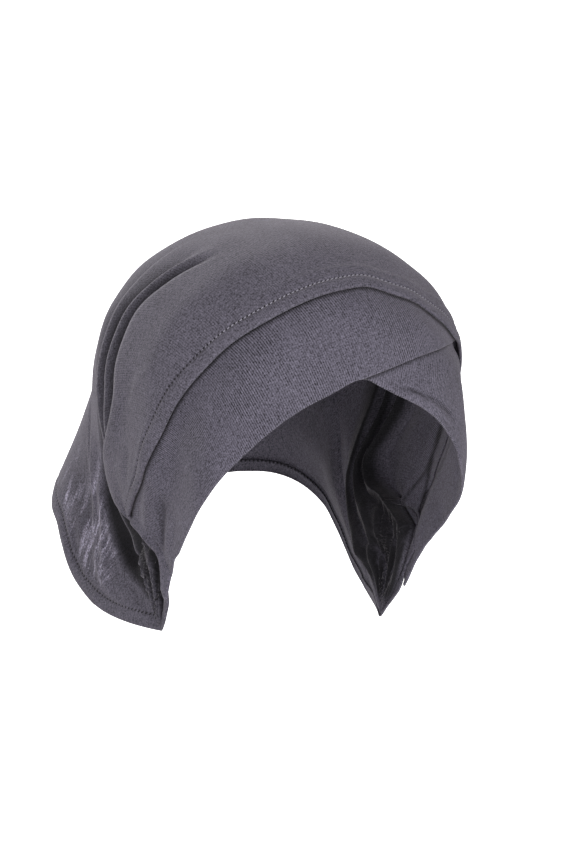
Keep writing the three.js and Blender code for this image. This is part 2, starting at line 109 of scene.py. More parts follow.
# Lines of the folds on one half of the head, each with its level out from the form. The
# first is the back edge of the smooth side panel and the last is the tail's edge.
FOLDS = {
    "panel_edge": table("share angle level", [
        [0.000, 52.0, -0.0006], [0.056, 58.5, -0.0007], [0.080, 63.0, -0.0007],
        [0.094, 68.0, -0.0007], [0.101, 78.8, -0.0006], [0.109, 89.8, -0.0002],
        [0.1155, 94.2, 0.0012], [0.120, 97.0, 0.0020], [0.128, 102.0, 0.0025],
        [0.137, 106.0, 0.0027], [0.150, 108.5, 0.0027], [0.163, 109.0, 0.0027],
        [0.177, 107.5, 0.0026], [0.186, 103.5, 0.0026], [0.200, 97.5, 0.0024],
        [0.215, 93.8, 0.0020], [0.235, 91.4, 0.0016], [0.260, 90.4, 0.0013],
        [0.310, 87.4, 0.0010], [0.350, 83.0, 0.0006], [0.386, 79.8, 0.0002],
        [0.420, 77.0, 0.0000], [0.500, 76.0, 0.0000],
    ]),
    "first_valley": table("share angle level", [
        [0.000, 56.0, -0.0010], [0.056, 63.5, -0.0040], [0.084, 72.0, -0.0080],
        [0.094, 77.0, -0.0095], [0.101, 85.0, -0.0095], [0.109, 94.5, -0.0095],
        [0.1155, 98.5, -0.0095], [0.128, 106.0, -0.0092], [0.137, 110.0, -0.0090],
        [0.150, 112.3, -0.0088], [0.163, 112.7, -0.0086], [0.177, 111.2, -0.0084],
        [0.186, 106.6, -0.0082], [0.200, 100.2, -0.0080], [0.215, 96.0, -0.0077],
        [0.235, 93.4, -0.0072], [0.260, 92.2, -0.0066], [0.310, 88.9, -0.0054],
        [0.350, 84.4, -0.0034], [0.386, 81.2, -0.0013], [0.405, 79.8, 0.0000],
        [0.500, 78.0, 0.0000],
    ]),
    "first_ridge": table("share angle level", [
        [0.000, 66.0, -0.0008], [0.056, 77.0, -0.0016], [0.090, 93.0, -0.0046],
        [0.109, 104.5, -0.0054], [0.128, 111.5, -0.0044], [0.147, 115.4, -0.0034],
        [0.163, 116.0, -0.0026], [0.177, 114.5, -0.0014], [0.192, 108.5, -0.0004],
        [0.215, 102.0, 0.0004], [0.235, 98.8, 0.0008], [0.260, 96.9, 0.0010],
        [0.285, 94.8, 0.0010], [0.310, 92.3, 0.0010], [0.350, 87.2, 0.0009],
        [0.386, 83.4, 0.0006], [0.420, 81.5, 0.0000], [0.500, 81.0, 0.0000],
    ]),
    "second_valley": table("share angle level", [
        [0.000, 74.0, -0.0010], [0.056, 89.0, -0.0034], [0.090, 112.0, -0.0080],
        [0.109, 115.5, -0.0092], [0.128, 117.8, -0.0086], [0.147, 119.0, -0.0080],
        [0.163, 118.6, -0.0076], [0.177, 117.0, -0.0072], [0.192, 111.2, -0.0070],
        [0.215, 104.4, -0.0064], [0.235, 101.0, -0.0058], [0.260, 98.9, -0.0050],
        [0.285, 96.7, -0.0044], [0.310, 94.1, -0.0036], [0.350, 89.0, -0.0022],
        [0.386, 85.4, -0.0008], [0.405, 84.8, 0.0000], [0.500, 84.0, 0.0000],
    ]),
    "second_ridge": table("share angle level", [
        [0.000, 84.0, -0.0006], [0.056, 103.0, -0.0014], [0.090, 120.0, -0.0034],
        [0.109, 121.8, -0.0036], [0.147, 123.2, -0.0022], [0.163, 122.6, -0.0014],
        [0.177, 120.8, -0.0004], [0.192, 116.2, 0.0002], [0.215, 109.4, 0.0007],
        [0.235, 105.4, 0.0009], [0.260, 102.6, 0.0010], [0.310, 98.0, 0.0010],
        [0.350, 94.6, 0.0009], [0.386, 91.3, 0.0006], [0.420, 89.0, 0.0000],
        [0.500, 88.0, 0.0000],
    ]),
    "third_valley": table("share angle level", [
        [0.000, 98.0, -0.0008], [0.040, 111.0, -0.0030], [0.070, 122.0, -0.0060],
        [0.097, 128.5, -0.0076], [0.127, 127.5, -0.0064], [0.163, 126.0, -0.0054],
        [0.183, 123.0, -0.0046], [0.192, 120.0, -0.0042], [0.215, 113.2, -0.0036],
        [0.235, 108.2, -0.0030], [0.260, 104.4, -0.0024], [0.310, 99.6, -0.0019],
        [0.350, 96.2, -0.0014], [0.386, 93.0, -0.0008], [0.420, 92.0, 0.0000],
        [0.500, 91.0, 0.0000],
    ]),
    "third_ridge": table("share angle level", [
        [0.000, 114.0, -0.0006], [0.040, 128.0, -0.0010], [0.070, 135.5, -0.0008],
        [0.097, 138.5, -0.0006], [0.127, 137.0, -0.0004], [0.163, 133.0, -0.0002],
        [0.183, 130.5, 0.0000], [0.192, 128.5, 0.0000], [0.215, 122.0, 0.0000],
        [0.235, 116.0, 0.0000], [0.285, 107.0, 0.0000], [0.350, 101.0, 0.0000],
        [0.420, 96.0, 0.0000], [0.500, 95.0, 0.0000],
    ]),
    "back_fold": table("share angle level", [
        [0.000, 156.0, 0.0000], [0.080, 157.0, 0.0003], [0.123, 151.5, 0.0008],
        [0.165, 140.5, 0.0011], [0.215, 131.0, 0.0012], [0.257, 123.5, 0.0010],
        [0.300, 119.0, 0.0005], [0.380, 114.0, 0.0000], [0.500, 112.0, 0.0000],
    ]),
    "back_hollow": table("share angle level", [
        [0.000, 161.0, 0.0000], [0.080, 161.5, -0.0004], [0.123, 156.5, -0.0011],
        [0.165, 146.0, -0.0016], [0.215, 136.5, -0.0018], [0.257, 129.5, -0.0016],
        [0.300, 125.5, -0.0010], [0.380, 121.0, 0.0000], [0.500, 119.0, 0.0000],
    ]),
    "tail_edge": table("share angle level", [
        [0.000, 176.0, 0.0000], [0.061, 173.0, 0.0000], [0.093, 171.0, 0.0000],
        [0.133, 166.8, 0.0000], [0.160, 163.5, 0.0000], [0.185, 159.8, 0.0000],
        [0.212, 155.5, 0.0000], [0.250, 152.3, 0.0000], [0.304, 151.5, 0.0000],
        [0.380, 154.0, 0.0000], [0.440, 157.0, 0.0000], [0.500, 158.5, 0.0000],
    ]),
}

# Below the first share a band lies over the crown, above the second the crown lies over it.
CHANGE_START = 0.1105
CHANGE_END = 0.1155
CHANGE_TUCK = 0.008


def mix(a, b, t):
    return a + (b - a) * t


def ease(t):
    c = np.clip(t, 0, 1)
    return c * c * (3 - 2 * c)


def fade(value, start, span):
    """Eases from 0 at a start to 1 a span past it. A span below 0 goes the other way."""
    return ease((value - start) / span)


def bump(t):
    """A round hump, 1 at 0 and gone by 2 on each side."""
    return np.exp(-np.square(t))


def half(share):
    return np.minimum(share, 1 - share)


def read(columns, name, at):
    """A smooth curve through a table's rows that never overshoots them."""
    x = next(iter(columns.values()))
    y = columns[name]
    slope = np.diff(y) / np.diff(x)
    before, after = slope[:-1], slope[1:]
    same_way = before * after > 0
    total = np.where(same_way, before + after, 1)
    inner = np.where(same_way, 2 * before * after / total, 0)
    tangent = np.concatenate([slope[:1], inner, slope[-1:]])
    k = np.clip(np.searchsorted(x, at, side="right") - 1, 0, len(x) - 2)
    width = x[k + 1] - x[k]
    t = (at - x[k]) / width
    start = y[k] * (1 + 2 * t) * (1 - t) ** 2 + tangent[k] * width * t * (1 - t) ** 2
    return start + y[k + 1] * t * t * (3 - 2 * t) + tangent[k + 1] * width * t * t * (t - 1)


def on_arch(angle, share):
    """How far sideways a place on an arch is, and how high above the hinge line."""
    apex, half_width, widest, squareness = (
        read(ARCHES, name, angle)[..., None]
        for name in ("apex", "half_width", "widest", "squareness")
    )
    rise = np.linspace(0, 1, ARCH_STEPS + 1)
    turn = np.linspace(0, math.pi / 2, 2 * ARCH_STEPS + 1)[1:]
    power = 2 / squareness
    lower = mix(NECK_HALF_WIDTH, half_width, 1 - (1 - rise) ** 2)
    upper = half_width * np.clip(np.cos(turn), 0, 1) ** power
    sideways = np.concatenate([lower, upper], -1)
    height = np.concatenate([widest * rise, widest + (apex - widest) * np.sin(turn) ** power], -1)
    steps = np.hypot(np.diff(sideways), np.diff(height))
    lengths = np.concatenate([np.zeros_like(apex), np.cumsum(steps, -1)], -1)
    wanted = half(share)[..., None] * 2 * lengths[..., -1:]
    k = np.clip((lengths < wanted).sum(-1, keepdims=True), 1, lengths.shape[-1] - 1)
    start, end = (np.take_along_axis(lengths, i, -1) for i in (k - 1, k))
    t = (wanted - start) / (end - start)
    place = [
        mix(np.take_along_axis(values, k - 1, -1), np.take_along_axis(values, k, -1), t)[..., 0]
        for values in (sideways, height)
    ]
    return np.where(share < 0.5, -1, 1) * place[0], place[1]


def on_form(angle, share):
    sideways, height = on_arch(angle, share)
    turn = np.radians(angle)
    return np.stack([sideways, HINGE_Y - height * np.cos(turn), HINGE_Z + height * np.sin(turn)], -1)


def lifted(angle, share, offset):
    """Places at an offset out from the form."""
    angle_step = 0.4
    share_step = 0.004
    near = np.clip(share, 2 * share_step, 1 - 2 * share_step)
    forward = on_form(angle + angle_step, near) - on_form(angle - angle_step, near)
    across = on_form(angle, near + share_step) - on_form(angle, near - share_step)
    out = np.cross(across, forward)
    out /= np.linalg.norm(out, axis=-1, keepdims=True)
    return on_form(angle, share) + out * offset[..., None]


def reach(angle, share):
    """The distance from the hinge line, by which angles and widths of cloth change over."""
    return on_arch(angle, np.clip(share, TIP, 1 - TIP))[1]


def degrees(width, angle, share):
    return np.degrees(width / reach(angle, share))


def crown_over(share):
    """0 where a band lies over the crown, 1 where the crown lies over the band."""
    return ease((half(share) - CHANGE_START) / (CHANGE_END - CHANGE_START))


def crown_front(share):
    seam = read(SEAM, "angle", share)
    face = read(FACE_EDGE, "angle", share)
    tuck = CROWN_TUCK * fade(half(share), CHANGE_END, -CHANGE_TUCK)
    held_back = BEHIND_BAND * fade(half(share), *BEHIND_BAND_FADE)
    return np.maximum(seam - degrees(tuck, seam, share), face + degrees(held_back, face, share))


def crown_lines(share):
    """Angles and levels of the crown's fold lines at a share, from its front edge back."""
    h = half(share)
    front = crown_front(share)
    angles = [front, *(read(rows, "angle", h) for rows in FOLDS.values())]
    levels = [mix(TUCK_LEVEL, EDGE_RISE, crown_over(share))]
    levels += [read(rows, "level", h) for rows in FOLDS.values()]
    angles[1] = np.maximum(angles[1], front + degrees(LEAST_PANEL, front, share))
    return np.array(angles), np.array(levels)


STEEPNESS = 0.65
ROUNDNESS = 0.5


def steep_start(t):
    """Away from a crisp crest, and then a round floor."""
    return mix(ease(t), np.sqrt(1 - (1 - t) ** 2), STEEPNESS)


def slow_rise(t):
    """Up out of a valley to a round crest."""
    return mix(t, np.sin(t * math.pi / 2), ROUNDNESS)


# How the cloth goes from each fold line to the next, behind the side panel.
FOLD_SHAPES = [steep_start, slow_rise, steep_start, slow_rise, steep_start, slow_rise,
               ease, steep_start, ease]

PANEL_DROP = (0.6, 0.4)      # part of the panel's width where it leaves the form, and the rest

# What a hem adds to the cloth's level: a puffed edge, the stitched groove, and the cloth
# that rises behind it.
HEM_RELIEF = table("from_edge level", [
    [0.0000, 0.0000], [0.0012, 0.0002], [0.0032, 0.0004], [0.0050, 0.0002], [0.0060, -0.0003],
    [0.0070, 0.0000], [0.0080, 0.0002], [0.0095, 0.0000], [0.0200, 0.0000],
])
HEM_FADE = (0.135, 0.02)     # the share where the front hem begins, and the span it takes
TAIL_HEM_FADE = (0.03, 0.03)
RAW_EDGE = 0.0112            # the hem's own raw edge shows through this far from the fold
RAW_EDGE_RISE = 0.0006
RAW_EDGE_WIDTH = 0.0010
RAW_EDGE_FADE = (0.24, 0.12)

# Painted shade in the hollows and painted highlights on the crests, by their place in the list
# of lines.
HOLLOW_SHADE = 0.9
HOLLOW_FADE = (0.0004, -0.0060)      # the level where it begins, and the span it takes
VALLEY_LINES = (2, 4, 6)
VALLEY_SHADE = 0.85
VALLEY_SHADE_WIDTH = 0.0016  # half the width of the dark line before a valley's floor
VALLEY_DEPTH = 0.0040        # at which a valley's line is at its darkest
CREST_LINES = (3, 5, 8)
CREST_HIGHLIGHT = 0.35
CREST_WIDTH = 0.0009
CREST_FADE = (-0.0008, 0.0016)
RIDGE_WIDTH = 0.0011
RIDGE_LIGHT = 0.70           # part of the gathers' shade that their ridges are spared
GATHERED_STARTS = (0.28, 0.19)
GATHERED_SPAN = -0.04
GATHERED_TIP = (0.008, 0.02)
GATHERED_LINES = (1, 7)      # the gathers' shade lies between these lines
GATHERED_EDGES = (2, -6)     # degrees over which it comes up at each
RIPPLE_FADE = (0.5, 0.45)

# Creases in the crown, from one place to another, with half their width and their level.
CROWN_CREASES = table("angle share to_angle to_share width level", [
    [74.0, 0.285, 91.0, 0.228, 0.0016, -0.0006],
    [72.5, 0.282, 84.0, 0.226, 0.0012, 0.0004],
    [80.0, 0.262, 92.0, 0.196, 0.0022, -0.0005],
    [84.0, 0.190, 90.0, 0.150, 0.0024, -0.0005],
    [128.0, 0.215, 151.0, 0.120, 0.0022, -0.0010],
    [133.0, 0.215, 144.0, 0.165, 0.0012, 0.0006],
    [124.0, 0.320, 134.0, 0.205, 0.0009, 0.0007],
    [123.5, 0.216, 148.0, 0.112, 0.0016, 0.0008],
    [146.0, 0.215, 160.0, 0.150, 0.0026, -0.0008],
    [150.0, 0.245, 158.0, 0.175, 0.0020, 0.0006],
    [102.0, 0.253, 118.0, 0.216, 0.0018, 0.0006],
])
GATHER_DEPTH = 0.0016
GATHER_FADE = (0.135, -0.05)
GATHER_LINES = (2, 7)        # the fine gathers lie between these lines
GATHER_EDGES = (6, -20)      # degrees over which they come up at each
GATHER_PERIOD = 7.5          # degrees from one fine gather to the next
CREASE_POINTS = 9
CREASE_ENDS = 4              # a crease fades out over a quarter of its length at each end
SWAY = 0.00035
SWAY_SPAN = 0.08
TIP_SPAN = 0.02              # share over which all relief comes up from the neck points


def creased(creases, angle, share):
    """The relief of a table of creases, each faded out at both ends."""
    places = on_form(angle, share)
    relief = np.zeros(angle.shape)
    for from_angle, from_share, to_angle, to_share, width, level in zip(*creases.values()):
        along = np.linspace(0, 1, CREASE_POINTS)
        line = on_form(mix(from_angle, to_angle, along), mix(from_share, to_share, along))
        nearest = np.full(angle.shape, np.inf)
        reached = np.zeros(angle.shape)
        for k, (start, end) in enumerate(zip(line[:-1], line[1:])):
            step = end - start
            t = np.clip((places - start) @ step / (step @ step), 0, 1)
            distance = np.linalg.norm(places - start - t[..., None] * step, axis=-1)
            reached = np.where(distance < nearest, (k + t) / (len(line) - 1), reached)
            nearest = np.minimum(distance, nearest)
        ends = ease(CREASE_ENDS * reached) * ease(CREASE_ENDS * (1 - reached))
        relief += level * bump(nearest / width) * ends
    return relief


def sway(angle, share):
    """The slight unevenness of cloth that is held by hand."""
    turn = np.radians(angle)
    waves = np.sin(9 * turn + 31 * share) * np.sin(52 * share - 5 * turn + 1.3)
    waves = waves + 0.6 * np.sin(17 * turn - 44 * share + 2.1) * np.sin(71 * share + 11 * turn)
    return SWAY * waves * fade(half(share), 0, SWAY_SPAN)


def hem_relief(distance):
    return read(HEM_RELIEF, "level", np.clip(distance, 0, HEM_RELIEF["from_edge"][-1]))


def crown_shade_and_highlight(share, angle, level):
    """How much shade is painted: 1 deep in a valley, and below 0 where a crest has a painted
    highlight.
    """
    angles, levels = crown_lines(share)
    # Painted shade: darker the deeper the cloth lies, along and before each valley's line, and over
    # the gathers.
    hollow = HOLLOW_SHADE * fade(level, *HOLLOW_FADE)
    for line in VALLEY_LINES:
        before = np.radians(angles[line] - angle) * reach(angles[line], share)
        flank = np.clip((angles[line + 1] - angle) / (angles[line + 1] - angles[line]), 0, 1)
        line_shade = bump(before / VALLEY_SHADE_WIDTH)
        shade = VALLEY_SHADE * np.where(before > 0, line_shade, np.sqrt(flank))
        hollow = hollow + shade * fade(levels[line], 0, -VALLEY_DEPTH)
    ridges = 0
    for line in CREST_LINES:
        away = np.radians(angle - angles[line]) * reach(angles[line], share)
        ridges = ridges + bump(away / RIDGE_WIDTH)
        # A painted highlight along each crest.
        crest = bump(away / CREST_WIDTH) * fade(levels[line], *CREST_FADE)
        hollow = hollow - CREST_HIGHLIGHT * crest
    starts = [fade(half(share), start, GATHERED_SPAN) for start in GATHERED_STARTS]
    gathered = np.mean(starts, axis=0) * fade(half(share), *GATHERED_TIP)
    for line, edge in zip(GATHERED_LINES, GATHERED_EDGES):
        gathered = gathered * fade(angle, angles[line], edge)
    ripple = fade(gathers(angle), *RIPPLE_FADE)
    gathered = gathered * (1 - RIDGE_LIGHT * np.clip(ridges + ripple, 0, 1))
    return np.clip(np.maximum(hollow, gathered), -CREST_HIGHLIGHT, 1)


def gathers(angle):
    """Fine uneven gathers side by side, from -1 in a groove to 1 on a ridge."""
    return np.cos(np.radians(360 / GATHER_PERIOD * angle + 70 * np.sin(0.19 * angle)))


def crown_level(share, angle):
    """The crown's outer level out from the form, with its folds, hems and creases."""
    angles, levels = crown_lines(share)
    share = np.broadcast_to(share, angle.shape)
    from_front = np.radians(angle - angles[0]) * reach(angles[0], share[0])
    from_tail = np.radians(angles[-1] - angle) * reach(angles[-1], share[0])
    settled = mix(levels[0], np.minimum(levels[0], 0), ease(from_front / RISE_WIDTH))
    t = np.clip((angle - angles[0]) / (angles[1] - angles[0]), 0, 1)
    level = mix(settled, levels[1], fade(t, *PANEL_DROP))
    for k, shape in enumerate(FOLD_SHAPES, start=1):
        t = np.clip((angle - angles[k]) / (angles[k + 1] - angles[k]), 0, 1)
        level = np.where(angle > angles[k], mix(levels[k], levels[k + 1], shape(t)), level)
    over = crown_over(share)
    level = level + hem_relief(from_front) * over * fade(half(share), *HEM_FADE)
    level = level + hem_relief(from_tail) * fade(half(share), *TAIL_HEM_FADE)
    raw_edge = fade(half(share), *RAW_EDGE_FADE) * bump((from_front - RAW_EDGE) / RAW_EDGE_WIDTH)
    level = level + RAW_EDGE_RISE * raw_edge
    gathered = fade(half(share), *GATHER_FADE)
    for line, edge in zip(GATHER_LINES, GATHER_EDGES):
        gathered = gathered * fade(angle, angles[line], edge)
    level = level + GATHER_DEPTH * gathered * gathers(angle)
    level = level + creased(CROWN_CREASES, angle, share) + sway(angle, share) * over
    return level * fade(half(share), 0, TIP_SPAN)


# Columns of cloth between the stops of the crown's profile: its front edge, the end of the
# hem's relief, the fold lines, the tail's hem and the tail's edge.
CROWN_COLUMNS = [14, 20, 9, 9, 8, 8, 8, 8, 20, 9, 16, 14]
HEM_COLUMNS = 5
TURN_COLUMNS = 5
TURN_START = 0.08            # part of a hem's width that its turned edge takes up
# Spans of the crown from the right neck point to the middle: a share, and its rows so far.
STATION_SPANS = table("row share", [[0, 0.0], [30, 0.09], [58, 0.125], [140, 0.5]])


def station(row):
    """The share of a row of cloth, counted from the right neck point."""
    last = 2 * STATION_SPANS["row"][-1]
    share = np.interp(np.minimum(row, last - row), STATION_SPANS["row"], STATION_SPANS["share"])
    return np.where(row * 2 <= last, share, 1 - share)


def turned_under(angle, share, level_at, direction, width, columns):
    """Cloth turned under at an edge, as rows of angle and level from its hidden end on."""
    radius = (JERSEY + LAYER_GAP) / 2
    flat = np.linspace(1, TURN_START, columns)[:, None] * width
    flat_angle = angle + direction * degrees(flat, angle, share)
    around = np.linspace(0, math.pi, TURN_COLUMNS + 2)[:-1, None]
    turn_angle = angle + direction * degrees(radius * (1 - np.sin(around)), angle, share)
    flat_level = level_at(flat_angle) - 2 * radius
    turn_level = level_at(angle[None]) - radius * (1 + np.cos(around))
    return np.concatenate([flat_angle, turn_angle]), np.concatenate([flat_level, turn_level])


def crown_grid():
    """Angle, share and outer level of the crown's cloth: columns by rows of stations."""
    share = station(np.arange(2 * STATION_SPANS["row"][-1] + 1))
    angles, _ = crown_lines(share)
    front, panel, hollow, tail = angles[0], angles[1], angles[-2], angles[-1]
    hem_end = np.minimum(front + degrees(HEM_ZONE, front, share), mix(front, panel, 0.5))
    tail_hem_end = np.maximum(tail - degrees(HEM_ZONE, tail, share), mix(tail, hollow, 0.5))
    stops = [front, hem_end, *angles[1:-1], tail_hem_end, tail]
    strips = [
        mix(start, end, np.arange(count)[:, None] / count)
        for start, end, count in zip(stops, stops[1:], CROWN_COLUMNS)
    ]
    outer = np.concatenate([*strips, tail[None]])[1:-1]
    drawn_in = fade(half(share), *HEM_DRAWN_IN)
    front_width = HEM_WIDTH * drawn_in * crown_over(share) + LEAST_HEM
    tail_width = HEM_WIDTH * drawn_in + LEAST_HEM

    def level_at(angle):
        return crown_level(share, angle)

    front_turn = turned_under(front, share, level_at, 1, front_width, HEM_COLUMNS)
    tail_turn = turned_under(tail, share, level_at, -1, tail_width, HEM_COLUMNS)
    angle = np.concatenate([front_turn[0], outer, tail_turn[0][::-1]])
    level = np.concatenate([front_turn[1], level_at(outer), tail_turn[1][::-1]])
    return angle, np.broadcast_to(share, angle.shape), level


def lengths_along(places, axis):
    """The length of cloth from the first place to each, along one way of a grid."""
    steps = np.linalg.norm(np.diff(places, axis=axis), axis=-1)
    return np.cumsum(np.concatenate([np.zeros_like(np.take(steps, [0], axis)), steps], axis), axis)


def cloth(name, angle, share, level, hollow):
    """A grid shaped to the form, with a UV map in metres and how far light is shut out."""
    rows, columns = angle.shape
    bpy.ops.mesh.primitive_grid_add(x_subdivisions=columns - 1, y_subdivisions=rows - 1, size=1)
    piece = bpy.context.object
    piece.name = piece.data.name = name
    flat = np.zeros(len(piece.data.vertices) * 3)
    piece.data.vertices.foreach_get("co", flat)
    flat = flat.reshape(-1, 3)
    i = np.rint((flat[:, 0] + 0.5) * (columns - 1)).astype(int)
    j = np.rint((flat[:, 1] + 0.5) * (rows - 1)).astype(int)
    places = lifted(angle, share, level)
    piece.data.vertices.foreach_set("co", places[j, i].ravel())
    along = np.broadcast_to(lengths_along(places, 1).max(0), angle.shape)
    set_uv(piece, "cloth", np.stack([along, lengths_along(places, 0)], -1)[j, i])
    shut_out = piece.data.attributes.new("hollow", "FLOAT", "POINT")
    shut_out.data.foreach_set("value", hollow[j, i].astype(np.float32))
    return piece, (j, i)


def set_uv(piece, name, places):
    """Stores a place in metres for each point as a UV map."""
    layer = piece.data.uv_layers.get(name) or piece.data.uv_layers.new(name=name)
    corners = np.zeros(len(piece.data.loops), int)
    piece.data.loops.foreach_get("vertex_index", corners)
    layer.data.foreach_set("uv", places[corners].astype(np.float32).ravel())


MERGE_DISTANCE = 0.00002     # points nearer than this at the neck points become one


def thicken(piece, thickness):
    """Gives a sheet its thickness, half to each side, and smooth shading."""
    bpy.ops.object.select_all(action="DESELECT")
    piece.select_set(True)
    bpy.context.view_layer.objects.active = piece
    bpy.ops.object.mode_set(mode="EDIT")
    bpy.ops.mesh.select_all(action="SELECT")
    bpy.ops.mesh.remove_doubles(threshold=MERGE_DISTANCE)
    bpy.ops.object.mode_set(mode="OBJECT")
    solid = piece.modifiers.new("thickness", "SOLIDIFY")
    solid.thickness = thickness
    solid.offset = 0
    solid.use_even_offset = False
    solid.material_offset = len(piece.data.materials) - 1
    bpy.ops.object.modifier_apply(modifier="thickness")
    bpy.ops.object.shade_smooth()
    bpy.ops.object.select_all(action="DESELECT")


class Finish:
    """A value or colour that changes over a cloth. Arithmetic on values adds Math nodes."""

    def __init__(self, tree, socket=None):
        self.tree = tree
        self.socket = socket

    def node(self, kind, settings, sockets, output=0):
        """Adds any node: its settings first, then the values or links of its sockets."""
        made = self.tree.nodes.new(kind)
        for name, value in settings.items():
            setattr(made, name, value)
        for name, value in sockets.items():
            if isinstance(value, Finish):
                self.tree.links.new(value.socket, made.inputs[name])
            else:
                made.inputs[name].default_value = value
        return Finish(self.tree, made.outputs[output])

    def math(self, operation, *values):
        return self.node("ShaderNodeMath", {"operation": operation}, dict(enumerate(values)))

    def __add__(self, other):
        return self.math("ADD", self, other)

    __radd__ = __add__

    def __sub__(self, other):
        return self.math("SUBTRACT", self, other)

    def __rsub__(self, other):
        return self.math("SUBTRACT", other, self)

    def __mul__(self, other):
        return self.math("MULTIPLY", self, other)

    __rmul__ = __mul__

    def __truediv__(self, other):
        return self.math("DIVIDE", self, other)

    def axis(self, name):
        """One of a vector's three numbers."""
        return self.node("ShaderNodeSeparateXYZ", {}, {"Vector": self}, name)

    def rising(self, low, high):
        """0 below the first value, 1 above the second, and smooth between."""
        return self.node("ShaderNodeMapRange", {"interpolation_type": "SMOOTHSTEP"},
                         {"Value": self, "From Min": low, "From Max": high})


def grain(finish, place, cell, stretch=(1, 1, 1), detail=2.0):
    """Noise about zero, with cells of a size in metres, stretched along the axes."""
    spread = finish.node("ShaderNodeMapping", {}, {"Vector": place, "Scale": stretch})
    noise = finish.node("ShaderNodeTexNoise", {}, {
        "Vector": spread, "Scale": 1 / cell, "Detail": detail, "Roughness": 0.6,
    })
    return noise - 0.5


WALE = 0.0011                # from one column of knit to the next
COURSE = 0.0008              # from one row of knit to the next
COURSE_SHARE = 0.3           # how far the rows break up the columns
PLAIN_PATCH_SIZE = 0.03      # where the knit hardly shows
PLAIN_PATCHES = (-0.12, 0.12)
PLAIN_KNIT = 0.35
FIBRE_SIZE = 0.0008
FLECK_SIZE = 0.0013
FLECK_STRETCH = (0.55, 1.8, 1)
MOTTLE_SIZE = 0.020
# How much each of them changes the tone of the colour, and the height of the surface.
FIBRE_TONE, FLECK_TONE, MOTTLE_TONE, KNIT_TONE = 2.8, 1.1, 0.35, 0.50
FIBRE_HEIGHT, FLECK_HEIGHT, KNIT_HEIGHT, HOLE_HEIGHT = 0.9, 0.7, 0.4, -1.6
SURFACE_HEIGHT = 0.0004
SURFACE_STRENGTH = 0.6
ROUGHNESS = 0.82
MOTTLE_POLISH = 0.2
SHEEN = {
    "Sheen Weight": 0.18,
    "Sheen Roughness": 0.45,
    "Sheen Tint": (1, 0.93, 1, 1),
    "Specular IOR Level": 0.2,
}
HOLLOW_DARK = 0.90           # part of the colour that is lost where light is wholly shut out
STITCH_PITCH = 0.0022
# A needle hole at each stitch's end: where its edge begins and ends, and the painted shade in it.
HOLE_EDGE = (0.0003, 0.00085)
HOLE_SHADE = 0.80
# The sides of the tail have a painted sheen in bright patches. Each pair is where the patches
# begin and where they are at their fullest: to the back, to each side, down, in from the
# stitched edge.
PAINTED_SHEEN_BACK = (0.030, 0.048)
PAINTED_SHEEN_SIDE = (0.045, 0.062)
PAINTED_SHEEN_DOWN = (0.100, 0.150)
PAINTED_SHEEN_INWARD = (0.007, 0.011)
PAINTED_SHEEN_PATCHES = (-0.05, 0.20)
PAINTED_SHEEN_SIZE = 0.011
PAINTED_SHEEN_STRETCH = (0.8, 1.0, 1)
PAINTED_SHEEN_DETAIL = 5.0
PAINTED_SHEEN_LIGHT = 3.6
PAINTED_SHEEN_FIBRES = 9.0
PAINTED_SHEEN_SHADED = (0.0, 0.7)     # how hollow the cloth is where they begin to be lost, and are


